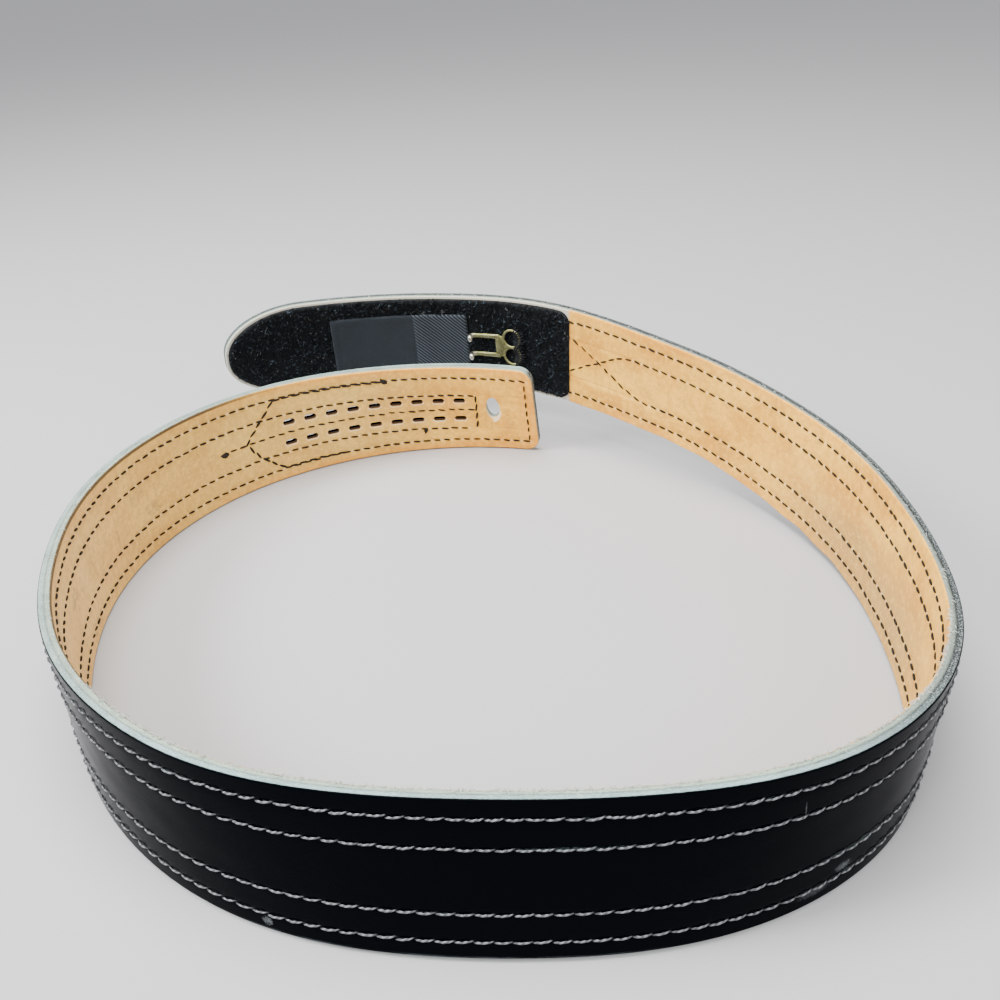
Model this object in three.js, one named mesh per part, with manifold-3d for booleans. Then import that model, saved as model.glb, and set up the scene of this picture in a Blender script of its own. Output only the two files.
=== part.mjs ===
// A black duty belt standing open on its lower edge: two leather plies, a pile panel and
// a brass double hook. Millimetres, +Z up, -Y towards the viewer, the belt's box centred
// over the origin and its lower edge on z = 0.
import * as THREE from 'three';
import { mergeVertices } from 'three/addons/utils/BufferGeometryUtils.js';
import Module from 'manifold-3d';

const wasm = await Module();
wasm.setup();

// Driving sizes
const LENGTH = 1335;
const WIDTH = 57.15;
const LINING = 2.3;
const OUTER = 2.6;
const GAP = 0.3;
const EDGE_ROUND = 0.7;
const STEP = 12.5;
const START = { x: 35.59, y: 142.44 };

// The way the belt lies, row by row from the blunt end (mm) round the front to the rounded
// end. heading: degrees from +X, seen from above. lean: degrees that the top edge leans out
// of the loop. lift: mm from the ground to the lower edge.
const WAY = [
  { along: 0, heading: 160.5, lean: -16, lift: 0 },
  { along: 80, heading: 189, lean: -11, lift: 0 },
  { along: 160, heading: 217.5, lean: -3, lift: 0 },
  { along: 240, heading: 248, lean: 0, lift: 0 },
  { along: 320, heading: 275.5, lean: 1, lift: 0 },
  { along: 400, heading: 294, lean: 1, lift: 0 },
  { along: 480, heading: 319, lean: -5, lift: 0 },
  { along: 560, heading: 348, lean: -12, lift: 0 },
  { along: 640, heading: 364.5, lean: -11, lift: 0 },
  { along: 720, heading: 395.5, lean: -1, lift: 0 },
  { along: 800, heading: 434.5, lean: 5, lift: 0 },
  { along: 880, heading: 451, lean: 5, lift: 0 },
  { along: 960, heading: 473.5, lean: 3, lift: 5 },
  { along: 1040, heading: 493, lean: -4, lift: 16 },
  { along: 1120, heading: 500.5, lean: -3, lift: 22 },
  { along: 1200, heading: 526.5, lean: -6, lift: 22 },
  { along: 1335, heading: 564.5, lean: -7, lift: 20 },
];

// Rounded ends: run is the rounding's length along the belt, drop what each edge gives up
const BLUNT = { run: 8, drop: 8 };
const TIP = { run: 50, drop: 26 };

// Slots and hole near the blunt end
const SLOTS = { first: 46, pitch: 12.7, count: 9, length: 7, height: 3, rows: [22, 34.5] };
const OVAL = { along: 26, up: 29.2, length: 8.3, height: 15.5 };

// Pile panel and woven patch, measured back from the rounded end
const PANEL = { back: 218, thick: 1.8, margin: 1.6, tipDrop: 25.4, corner: { run: 7, drop: 7 } };
const PATCH = { from: 66, to: 152, bottom: 7, top: 46, thick: 0.8, corner: { run: 1.5, drop: 1.5 } };

// Brass double hook: two eyes and two prongs on one plate, its sizes from between the eyes
const HOOK = { back: 181, thick: 1.2, eyeSpread: 5.45, eyeHole: 4.5, eyeRim: 6.2 };
const BODY = { left: -10.5, straight: -6.3, right: -2.5, half: 8.2, inset: 2.5 };
const PRONG = { spread: 5.9, reach: -26, wide: 2.8, thick: 1.5, bend: 2.8, rise: 2, back: 1.6 };

const THICK = LINING + GAP + OUTER;
const MIDDLE = WIDTH / 2;
const PANEL_OUT = -GAP;
const PANEL_IN = PANEL_OUT - PANEL.thick;
const DEG = Math.PI / 180;

// A value of the WAY table at any place, joined smoothly from row to row
function wayValue(name, along) {
  const last = WAY.length - 1;
  let i = 0;
  while (i < last - 1 && along > WAY[i + 1].along) i += 1;
  const slope = (j) => {
    const a = WAY[Math.max(0, j - 1)];
    const b = WAY[Math.min(last, j + 1)];
    return (b[name] - a[name]) / (b.along - a.along);
  };
  const span = WAY[i + 1].along - WAY[i].along;
  const t = (along - WAY[i].along) / span;
  const start = (2 * t ** 3 - 3 * t ** 2 + 1) * WAY[i][name];
  const end = (3 * t ** 2 - 2 * t ** 3) * WAY[i + 1][name];
  const leave = (t ** 3 - 2 * t ** 2 + t) * span * slope(i);
  const arrive = (t ** 3 - t ** 2) * span * slope(i + 1);
  return start + end + leave + arrive;
}

const liftAt = (along) => Math.max(0, wayValue('lift', along));
const climbAt = (along) => (liftAt(along + 1) - liftAt(along - 1)) / 2;

// The lining's lower inner edge in plan, one point per millimetre
function walkPlan() {
  const points = [new THREE.Vector2(START.x, START.y)];
  for (let along = 0; along < LENGTH; along += 1) {
    const heading = wayValue('heading', along + 0.5) * DEG;
    const flat = Math.sqrt(1 - climbAt(along + 0.5) ** 2);
    const step = new THREE.Vector2(Math.cos(heading), Math.sin(heading)).multiplyScalar(flat);
    points.push(points[points.length - 1].clone().add(step));
  }
  return points;
}
const PLAN = walkPlan();

// The belt's own directions at a place: on along it, up across its width, out of the loop
function directions(along) {
  const heading = wayValue('heading', along) * DEG;
  const lean = wayValue('lean', along) * DEG;
  const climb = climbAt(along);
  const flat = Math.sqrt(1 - climb ** 2);
  const ahead = new THREE.Vector3(Math.cos(heading), Math.sin(heading), 0);
  const side = new THREE.Vector3(Math.sin(heading), -Math.cos(heading), 0);
  const on = ahead.clone().multiplyScalar(flat).setZ(climb);
  const rise = ahead.clone().multiplyScalar(-climb).setZ(flat);
  const up = side.clone().multiplyScalar(Math.sin(lean)).addScaledVector(rise, Math.cos(lean));
  const out = side.clone().multiplyScalar(Math.cos(lean)).addScaledVector(rise, -Math.sin(lean));
  return { on, up, out };
}

// A point of the belt: along from the blunt end, out from the lining's inner face, up from
// the lower edge. Where the belt leans out, it stands on its outer lower corner.
function beltPoint(along, out, up) {
  const whole = Math.min(Math.max(Math.floor(along), 0), LENGTH - 1);
  const plan = PLAN[whole].clone().lerp(PLAN[whole + 1], along - whole);
  const way = directions(along);
  const stand = Math.max(0, -THICK * way.out.z);
  return new THREE.Vector3(plan.x, plan.y, liftAt(along) + stand)
    .addScaledVector(way.out, out)
    .addScaledVector(way.up, up);
}

// What an elliptic corner takes off an edge at a distance from the end
function cornerDrop(corner, distance) {
  if (distance >= corner.run) return 0;
  return corner.drop * (1 - Math.sqrt(1 - (1 - distance / corner.run) ** 2));
}

// Places along a strip: closer and closer in its rounded ends, even steps between them
function stationsOf(strip) {
  const { from, to, start, end } = strip;
  const places = new Set();
  const turns = (corner) => (corner.run > 20 ? 8 : 4);
  for (let i = 0; i <= turns(start); i += 1) {
    places.add(from + start.run * (1 - Math.cos((i * Math.PI) / 2 / turns(start))));
  }
  for (let i = 0; i <= turns(end); i += 1) {
    places.add(to - end.run * (1 - Math.cos((i * Math.PI) / 2 / turns(end))));
  }
  for (let along = 0; along < LENGTH; along += STEP) {
    if (along > from + start.run + 2 && along < to - end.run - 2) places.add(along);
  }
  return [...places].sort((a, b) => a - b);
}

// A strip of the belt as one closed body. strip.section gives the (out, up) outline at a
// place, down the inner side and up the outer one, always with the same number of points.
// Both sides split their squares along the same diagonal, so that twisted plies stay apart.
function stripGeometry(strip) {
  const stations = stationsOf(strip);
  const positions = [];
  const index = [];
  const outline = strip.section(stations[0]);
  const size = outline.length;
  stations.forEach((along) => {
    strip.section(along).forEach(([out, up]) => positions.push(...beltPoint(along, out, up)));
  });
  for (let i = 0; i + 1 < stations.length; i += 1) {
    for (let j = 0; j < size; j += 1) {
      const next = (j + 1) % size;
      const a = i * size + j;
      const b = i * size + next;
      if (outline[next][1] < outline[j][1]) {
        index.push(a, a + size, b, b, a + size, b + size);
      } else {
        index.push(a, a + size, b + size, a, b + size, b);
      }
    }
  }
  const far = (stations.length - 1) * size;
  for (let j = 1; j + 1 < size; j += 1) {
    index.push(0, j, j + 1, far, far + j + 1, far + j);
  }
  const geometry = new THREE.BufferGeometry();
  geometry.setAttribute('position', new THREE.Float32BufferAttribute(positions, 3));
  geometry.setIndex(index);
  geometry.computeVertexNormals();
  return geometry;
}

// A flat-sided section between two depths, rounded on its inner or its outer side
function roundedSection(inner, outer, bottom, top, roundInner) {
  const r = EDGE_ROUND;
  const middle = (bottom + top) / 2;
  const turned = [0, 45, 90].map((a) => [r * (1 - Math.cos(a * DEG)), r * (1 - Math.sin(a * DEG))]);
  if (roundInner) {
    const low = turned.map(([x, y]) => [inner + x, bottom + y]);
    const high = turned.map(([x, y]) => [inner + x, top - y]).reverse();
    return [...high, [inner, middle], ...low, [outer, bottom], [outer, middle], [outer, top]];
  }
  const low = turned.map(([x, y]) => [outer - x, bottom + y]).reverse();
  const high = turned.map(([x, y]) => [outer - x, top - y]);
  return [[inner, top], [inner, middle], [inner, bottom], ...low, [outer, middle], ...high];
}

function beltStrip(inner, outer, roundInner) {
  const drop = (along) => cornerDrop(BLUNT, along) + cornerDrop(TIP, LENGTH - along);
  const section = (along) => roundedSection(
    inner, outer, drop(along), WIDTH - drop(along), roundInner,
  );
  return stripGeometry({ from: 0, to: LENGTH, start: BLUNT, end: TIP, section });
}

function toSolid(geometry) {
  const bare = geometry.clone();
  bare.deleteAttribute('normal');
  if (bare.attributes.uv) bare.deleteAttribute('uv');
  const merged = mergeVertices(bare, 1e-4);
  return new wasm.Manifold(new wasm.Mesh({
    numProp: 3,
    vertProperties: new Float32Array(merged.attributes.position.array),
    triVerts: new Uint32Array(merged.index.array),
  }));
}

function toGeometry(solid) {
  const mesh = solid.getMesh();
  const geometry = new THREE.BufferGeometry();
  geometry.setAttribute('position', new THREE.Float32BufferAttribute(mesh.vertProperties, 3));
  geometry.setIndex(Array.from(mesh.triVerts));
  geometry.computeVertexNormals();
  return geometry;
}

// A straight-sided cutter through the plies, its outline drawn round a place on the belt
function cutter(shape, along, up, inner, outer, curveSegments) {
  const depth = outer - inner;
  const geometry = new THREE.ExtrudeGeometry(shape, { depth, bevelEnabled: false, curveSegments });
  const way = directions(along);
  const place = new THREE.Matrix4().makeBasis(way.on, way.up, way.out);
  place.setPosition(beltPoint(along, inner, up));
  geometry.applyMatrix4(place);
  return toSolid(geometry);
}

// A round-ended slot, long along the belt
function slotShape(long, tall) {
  const radius = tall / 2;
  const straight = (long - tall) / 2;
  const shape = new THREE.Shape();
  shape.absarc(straight, 0, radius, -Math.PI / 2, Math.PI / 2);
  shape.absarc(-straight, 0, radius, Math.PI / 2, 1.5 * Math.PI);
  shape.closePath();
  return shape;
}

function ovalShape(long, tall) {
  const shape = new THREE.Shape();
  shape.absellipse(0, 0, long / 2, tall / 2, 0, 2 * Math.PI);
  return shape;
}

function cut(geometry, cutters) {
  return toGeometry(cutters.reduce((solid, tool) => solid.subtract(tool), toSolid(geometry)));
}

const through = [-2, THICK + 2];
const punched = [cutter(ovalShape(OVAL.length, OVAL.height), OVAL.along, OVAL.up, ...through, 20)];
for (const up of SLOTS.rows) {
  for (let i = 0; i < SLOTS.count; i += 1) {
    const along = SLOTS.first + i * SLOTS.pitch;
    punched.push(cutter(slotShape(SLOTS.length, SLOTS.height), along, up, ...through, 3));
  }
}

// The pile panel, a margin inside the lining's edges and round the tip
function panelGeometry() {
  const from = LENGTH - PANEL.back;
  const to = LENGTH - PANEL.margin;
  const tip = { run: TIP.run - PANEL.margin, drop: PANEL.tipDrop };
  const section = (along) => {
    const drop = cornerDrop(PANEL.corner, along - from) + cornerDrop(tip, to - along);
    const bottom = PANEL.margin + drop;
    const top = WIDTH - PANEL.margin - drop;
    return roundedSection(PANEL_IN, PANEL_OUT, bottom, top, true);
  };
  return stripGeometry({ from, to, start: PANEL.corner, end: tip, section });
}

function patchGeometry() {
  const from = LENGTH - PATCH.to;
  const to = LENGTH - PATCH.from;
  const outer = PANEL_IN - GAP;
  const inner = outer - PATCH.thick;
  const section = (along) => {
    const drop = cornerDrop(PATCH.corner, along - from) + cornerDrop(PATCH.corner, to - along);
    const bottom = PATCH.bottom + drop;
    const top = PATCH.top - drop;
    return [[inner, top], [inner, bottom], [outer, bottom], [outer, top]];
  };
  return stripGeometry({ from, to, start: PATCH.corner, end: PATCH.corner, section });
}

// The hook is drawn flat as seen from inside the loop (x towards the blunt end, y up, z off
// the panel), then laid on the panel so that its plate follows the belt's bend
function layOnPanel(geometry) {
  const position = geometry.attributes.position;
  const along = LENGTH - HOOK.back;
  const seat = PANEL_IN - GAP;
  for (let i = 0; i < position.count; i += 1) {
    const point = beltPoint(along - position.getX(i), seat - position.getZ(i), position.getY(i));
    position.setXYZ(i, point.x, point.y, point.z);
  }
  geometry.computeVertexNormals();
  return geometry;
}

function circleShape(radius) {
  const shape = new THREE.Shape();
  shape.absarc(0, 0, radius, 0, 2 * Math.PI);
  return shape;
}

function plateSolid() {
  const settings = { depth: HOOK.thick, bevelEnabled: false, curveSegments: 12 };
  const { left, straight, right, half, inset } = BODY;
  const body = new THREE.Shape();
  body.moveTo(right, MIDDLE - half + inset);
  body.lineTo(right, MIDDLE + half - inset);
  body.lineTo(straight, MIDDLE + half);
  body.lineTo(left, MIDDLE + half);
  body.lineTo(left, MIDDLE - half);
  body.lineTo(straight, MIDDLE - half);
  body.closePath();
  const rim = new THREE.ExtrudeGeometry(circleShape(HOOK.eyeRim), settings);
  const hole = new THREE.ExtrudeGeometry(circleShape(HOOK.eyeHole), { ...settings, depth: 4 });
  const eyes = [MIDDLE - HOOK.eyeSpread, MIDDLE + HOOK.eyeSpread];
  let plate = toSolid(new THREE.ExtrudeGeometry(body, settings));
  eyes.forEach((up) => { plate = plate.add(toSolid(rim.clone().translate(0, up, 0))); });
  eyes.forEach((up) => { plate = plate.subtract(toSolid(hole.clone().translate(0, up, -1))); });
  return plate;
}

// One prong: flat along the panel, bent up off it and back a little, its end rounded
function prongSolid(side) {
  const level = PRONG.thick / 2;
  const root = new THREE.Vector3(BODY.left + 1.5, MIDDLE + side * PRONG.spread, level);
  const bendMid = root.clone().setX(PRONG.reach);
  const bendStart = bendMid.clone().setX(PRONG.reach + PRONG.bend);
  const bendEnd = bendMid.clone().setZ(level + PRONG.bend);
  const end = bendEnd.clone().add(new THREE.Vector3(PRONG.back, 0, PRONG.rise));
  const path = new THREE.CurvePath();
  path.add(new THREE.LineCurve3(root, bendStart));
  path.add(new THREE.QuadraticBezierCurve3(bendStart, bendMid, bendEnd));
  path.add(new THREE.LineCurve3(bendEnd, end));
  const section = new THREE.Shape();
  section.absellipse(0, 0, PRONG.thick / 2, PRONG.wide / 2, 0, 2 * Math.PI);
  const bar = new THREE.ExtrudeGeometry(section, {
    steps: 10, bevelEnabled: false, extrudePath: path, curveSegments: 4,
  });
  const tip = new THREE.SphereGeometry(PRONG.wide / 2, 10, 6).translate(end.x, end.y, end.z);
  return toSolid(bar).add(toSolid(tip));
}

function hookGeometry() {
  const solid = plateSolid().add(prongSolid(-1)).add(prongSolid(1));
  return layOnPanel(toGeometry(solid));
}

function piece(name, geometry, color, roughness, metalness) {
  const material = new THREE.MeshStandardMaterial({ color, roughness, metalness });
  const mesh = new THREE.Mesh(geometry, material);
  mesh.name = name;
  return mesh;
}

const outerStrap = cut(beltStrip(LINING + GAP, THICK, false), punched);
const lining = cut(beltStrip(0, LINING, true), punched);

const group = new THREE.Group();
group.add(
  piece('outer_strap', outerStrap, 0x0c0c0e, 0.22, 0),
  piece('lining', lining, 0xc89a6c, 0.75, 0),
  piece('loop_panel', panelGeometry(), 0x111217, 0.95, 0),
  piece('woven_patch', patchGeometry(), 0x2b2f38, 0.85, 0),
  piece('adjusting_hook', hookGeometry(), 0x9a8f4c, 0.35, 1),
);

export default group;
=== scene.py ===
import math

import bpy
import numpy as np
from mathutils import Matrix


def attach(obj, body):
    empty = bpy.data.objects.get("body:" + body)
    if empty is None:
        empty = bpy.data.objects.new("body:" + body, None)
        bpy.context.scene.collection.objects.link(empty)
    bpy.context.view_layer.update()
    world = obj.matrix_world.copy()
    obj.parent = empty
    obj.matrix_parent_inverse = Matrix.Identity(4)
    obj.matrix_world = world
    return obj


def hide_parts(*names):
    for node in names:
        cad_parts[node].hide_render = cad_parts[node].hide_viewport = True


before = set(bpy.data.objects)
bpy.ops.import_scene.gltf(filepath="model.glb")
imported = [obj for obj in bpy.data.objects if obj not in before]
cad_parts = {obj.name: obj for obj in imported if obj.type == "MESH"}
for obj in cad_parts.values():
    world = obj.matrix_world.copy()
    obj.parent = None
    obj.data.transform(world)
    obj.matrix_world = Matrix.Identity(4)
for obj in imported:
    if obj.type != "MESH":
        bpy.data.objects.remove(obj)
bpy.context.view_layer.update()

# The outer strap. A 2.6 mm ply of black leather with a glossy finish on its outer face and
# raw, pale cut edges, 57 mm wide. It is cut from a long hide, its corners are rounded off, and
# nine pairs of slots and an oval hole are punched through it near the blunt end.

# Sizes (mm): the strap, both plies together, and how far out from the lining's face the glued
# backs of the two plies lie
MM = 0.001
LENGTH = 1335
WIDTH = 57.15
PLIES = 5.2
OUTER_BACK = 2.58
LINING_BACK = 2.56

# The way the belt stands, from its blunt end round the front to its rounded end: place along
# it (mm), heading (degrees from +X), lean of the top edge out of the loop (degrees), lift (mm)
WAY = np.array([
    (0, 160.5, -16, 0), (80, 189, -11, 0), (160, 217.5, -3, 0), (240, 248, 0, 0),
    (320, 275.5, 1, 0), (400, 294, 1, 0), (480, 319, -5, 0), (560, 348, -12, 0),
    (640, 364.5, -11, 0), (720, 395.5, -1, 0), (800, 434.5, 5, 0), (880, 451, 5, 0),
    (960, 473.5, 3, 5), (1040, 493, -4, 16), (1120, 500.5, -3, 22), (1200, 526.5, -6, 22),
    (1335, 564.5, -7, 20),
])
START = (35.59, 142.44)


def way_value(column, along):
    """A smooth value between the way's rows: heading, lean or lift."""
    last = len(WAY) - 1
    i = 0
    while i < last - 1 and along > WAY[i + 1, 0]:
        i += 1

    def slope(j):
        a, b = WAY[max(0, j - 1)], WAY[min(last, j + 1)]
        return (b[column] - a[column]) / (b[0] - a[0])

    span = WAY[i + 1, 0] - WAY[i, 0]
    t = (along - WAY[i, 0]) / span
    value = (2 * t ** 3 - 3 * t ** 2 + 1) * WAY[i, column]
    value += (3 * t ** 2 - 2 * t ** 3) * WAY[i + 1, column]
    value += (t ** 3 - 2 * t ** 2 + t) * span * slope(i)
    return value + (t ** 3 - t ** 2) * span * slope(i + 1)


def lift_at(along):
    return max(0, way_value(3, along))


def climb_at(along):
    return (lift_at(along + 1) - lift_at(along - 1)) / 2


def put(name, data):
    """A new object in the scene, made of this mesh, curve, light or camera."""
    made = bpy.data.objects.new(name, data)
    bpy.context.collection.objects.link(made)
    return made


def draw_way():
    """The belt's way as a curve, one point per millimetre: the lining's lower inner edge."""
    curve = bpy.data.curves.new("way", "CURVE")
    curve.dimensions = "3D"
    curve.twist_mode = "Z_UP"
    line = curve.splines.new("POLY")
    line.points.add(LENGTH)
    x, y = START
    for along in range(LENGTH + 1):
        lean = math.radians(way_value(2, along))
        stand = max(0, PLIES * math.sin(lean))
        line.points[along].co = (x * MM, y * MM, (lift_at(along) + stand) * MM, 1)
        line.points[along].tilt = lean
        heading = math.radians(way_value(1, along + 0.5))
        flat = math.sqrt(1 - climb_at(along + 0.5) ** 2)
        x += flat * math.cos(heading)
        y += flat * math.sin(heading)
    return put("way", curve)


way = draw_way()

# Outline and holes (mm): how the ends are rounded, and what is punched through the plies
BLUNT_RUN, BLUNT_DROP = 8, 8
TIP_RUN, TIP_DROP = 50, 26
SLOT_PLACES = [46 + 12.7 * i for i in range(9)]
SLOT_ROWS = (22, 34.5)
SLOT_LONG, SLOT_TALL = 7, 3
OVAL_AT = (26, 29.2)
OVAL_LONG, OVAL_TALL = 8.3, 15.5
EDGE_ROUND = 0.7
BOX_END = 36            # where a seam runs across, between the oval hole and the slots

# Heights of the four long seams above the lower edge (mm), the inner two of which close in a
# little beside the slots, and how far and how wide the thread pulls the leather in
SEAM_OUTER = (50.3, 6.4)
SEAM_INNER = ((39.8, 38.0), (16.6, 14.8))
SEAM_DEPTH, SEAM_SPREAD = 0.24, 0.75


def corner_drop(run, drop, distance):
    part = np.clip(1 - np.asarray(distance, float) / run, 0, 1)
    return drop * (1 - np.sqrt(np.maximum(0, 1 - part ** 2)))


def half_width(along):
    along = np.asarray(along, float)
    taken = corner_drop(BLUNT_RUN, BLUNT_DROP, along)
    taken = taken + corner_drop(TIP_RUN, TIP_DROP, LENGTH - along)
    return WIDTH / 2 - taken


def inset_from_edge(along, up):
    """How far a place on the strap is from its outline, roughly."""
    half = half_width(along)
    slope = (half_width(np.minimum(along + 0.05, LENGTH)) - half_width(along - 0.05)) / 0.1
    side = (half - np.abs(up - WIDTH / 2)) / np.sqrt(1 + slope ** 2)
    return np.minimum(side, np.minimum(along, LENGTH - along))


def seam_height(which, along):
    far, near = SEAM_INNER[which]
    return far + (near - far) * (1 - np.clip((along - 40) / 180, 0, 1)) ** 2


def punched_distance(along, up):
    """Distance to the nearest slot's or hole's edge: less than nought inside it."""
    best = np.full(np.shape(along), 99.0)
    reach = (SLOT_LONG - SLOT_TALL) / 2
    for row in SLOT_ROWS:
        for place in SLOT_PLACES:
            beside = np.maximum(np.abs(along - place) - reach, 0)
            best = np.minimum(best, np.hypot(beside, up - row) - SLOT_TALL / 2)
    ring = np.hypot((along - OVAL_AT[0]) / OVAL_LONG, (up - OVAL_AT[1]) / OVAL_TALL) * 2
    return np.minimum(best, (ring - 1) * OVAL_LONG / 2)


def ripple(along, up, size, seed):
    """A smooth, uneven surface between about -1 and 1, from a few waves of one size."""
    rng = np.random.default_rng(seed)
    total = np.zeros(np.shape(along))
    waves = 7
    for _ in range(waves):
        angle, phase = rng.uniform(0, 2 * np.pi, 2)
        length = size * rng.uniform(0.7, 1.5)
        across = along * math.cos(angle) + up * math.sin(angle)
        total += np.sin(across * 2 * np.pi / length + phase)
    return total / (waves / 2)


def stations():
    """Places along the strap for its mesh, closer together at its ends and by the slots."""
    ends = [0, 0.08, 0.2, 0.4, 0.7, 1.2, 2, 3, 4.5, 6, 8]
    tip = [LENGTH - TIP_RUN * (1 - math.cos(a)) for a in np.linspace(0, math.pi / 2, 34)]
    fine = list(np.arange(9, 156, 0.9))
    long = list(np.arange(157.5, LENGTH - TIP_RUN - 1, 2.7))
    return np.array(sorted(ends + fine + long + tip + [LENGTH - d for d in (0.2, 0.5)]))


def rows():
    """Heights of the mesh's rows, closer together at the edges, the seams and the slots."""
    edge = [0, 0.08, 0.2, 0.4, 0.7, 1.3, 2.4, 3.8]
    seams = [row + d for row in (6.4, 16.3) for d in (-1.2, -0.6, -0.25, 0, 0.25, 0.6, 1.2)]
    lower = edge + seams + [9.5, 11.5, 13.6, 18.4] + list(np.arange(19.2, WIDTH / 2, 0.95))
    return np.array(sorted(lower + [WIDTH - row for row in lower]))


def free_selection():
    if bpy.context.object and bpy.context.object.mode != "OBJECT":
        bpy.ops.object.mode_set(mode="OBJECT")
    bpy.ops.object.select_all(action="DESELECT")


def only(piece):
    free_selection()
    piece.select_set(True)
    bpy.context.view_layer.objects.active = piece


def points(piece):
    found = np.empty(len(piece.data.vertices) * 3)
    piece.data.vertices.foreach_get("co", found)
    return found.reshape(-1, 3)


def set_points(piece, moved):
    piece.data.vertices.foreach_set("co", np.ascontiguousarray(moved).ravel())
    piece.data.update()


def face_outwards(piece):
    """Turns the faces out: alike first, then all at once if they enclose a space inside out."""
    only(piece)
    bpy.ops.object.mode_set(mode="EDIT")
    bpy.ops.mesh.select_all(action="SELECT")
    bpy.ops.mesh.normals_make_consistent(inside=False)
    bpy.ops.object.mode_set(mode="OBJECT")
    piece.data.calc_loop_triangles()
    corners = np.empty(len(piece.data.loop_triangles) * 3, dtype=np.int32)
    piece.data.loop_triangles.foreach_get("vertices", corners)
    a, b, c = points(piece)[corners.reshape(-1, 3)].transpose(1, 0, 2)
    if np.einsum("ij,ij->i", a, np.cross(b, c)).sum() < 0:
        bpy.ops.object.mode_set(mode="EDIT")
        bpy.ops.mesh.flip_normals()
        bpy.ops.object.mode_set(mode="OBJECT")


def flat_sheet(name, along, across, middle, half, levels):
    """A sheet lying flat: a grid of places along it and shares of its half width across it,
    its wall built up in steps from its hidden side to its face."""
    free_selection()
    bpy.ops.mesh.primitive_grid_add(
        x_subdivisions=len(along) - 1, y_subdivisions=len(across) - 1, size=1)
    sheet = bpy.context.object
    sheet.name = sheet.data.name = name
    grid = points(sheet)
    i = np.rint((grid[:, 0] + 0.5) * (len(along) - 1)).astype(int)
    j = np.rint((grid[:, 1] + 0.5) * (len(across) - 1)).astype(int)
    place = along[i]
    up = middle + across[j] * half(place)
    set_points(sheet, np.stack([place, np.full(len(place), -levels[0]), up], 1) * MM)
    bpy.ops.object.mode_set(mode="EDIT")
    bpy.ops.mesh.select_all(action="SELECT")
    for low, high in zip(levels, levels[1:]):
        bpy.ops.mesh.extrude_region_move(
            TRANSFORM_OT_translate={"value": (0, (low - high) * MM, 0)})
    face_outwards(sheet)
    return sheet


def flat_ply(name, levels):
    across = (rows() - WIDTH / 2) / (WIDTH / 2)
    return flat_sheet(name, stations(), across, WIDTH / 2, half_width, levels)


def join(parts):
    """Makes one piece of several, its faces outwards."""
    only(parts[0])
    for part in parts:
        part.select_set(True)
    bpy.ops.object.join()
    face_outwards(bpy.context.object)
    return bpy.context.object


def modify(piece, kind, **settings):
    """Adds a modifier with these settings to a piece and applies it."""
    only(piece)
    modifier = piece.modifiers.new(kind.lower(), kind)
    for key, value in settings.items():
        setattr(modifier, key, value)
    bpy.ops.object.modifier_apply(modifier=modifier.name)


def keep_value(piece, name, values):
    """Keeps a number with each of a piece's points, for its finish."""
    kept = piece.data.attributes.new(name, "FLOAT", "POINT")
    kept.data.foreach_set("value", np.asarray(values, np.float32))


def punch(ply):
    """Cuts the slots and the oval hole with round-ended punches, and marks their walls."""
    punches = []
    slots = [(s, h, 1, SLOT_TALL / 2) for h in SLOT_ROWS for s in SLOT_PLACES]
    oval = (*OVAL_AT, OVAL_TALL / OVAL_LONG, OVAL_LONG / 2)
    for along, up, stretch, radius in [*slots, oval]:
        free_selection()
        bpy.ops.mesh.primitive_cylinder_add(vertices=28, radius=radius * MM, depth=14 * MM)
        tool = bpy.context.object
        shape = points(tool)[:, [0, 2, 1]] * (1, -1, stretch)
        if stretch == 1:
            shape[:, 0] += np.sign(np.round(shape[:, 0], 6)) * (SLOT_LONG - SLOT_TALL) / 2 * MM
        set_points(tool, shape + np.array([along, -PLIES / 2, up]) * MM)
        punches.append(tool)
    tool = join(punches)
    modify(ply, "BOOLEAN", operation="DIFFERENCE", solver="MANIFOLD", object=tool)
    ply.data.materials.clear()
    ply.data.polygons.foreach_set("material_index", [0] * len(ply.data.polygons))
    bpy.data.objects.remove(tool)
    p = points(ply) / MM
    keep_value(ply, "punched", punched_distance(p[:, 0], p[:, 2]) < 0.05)


def lay(piece, material, angle=40):
    """Keeps where each point lies on the flat belt, bends the piece along the way, coats it."""
    kept = points(piece) / MM * (1, -1, 1)
    flat = piece.data.attributes.new("flat", "FLOAT_VECTOR", "POINT")
    flat.data.foreach_set("vector", kept.ravel())
    modify(piece, "CURVE", object=way, deform_axis="POS_X")
    bpy.ops.object.shade_smooth_by_angle(angle=math.radians(angle))
    piece.data.materials.append(material)


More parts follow.
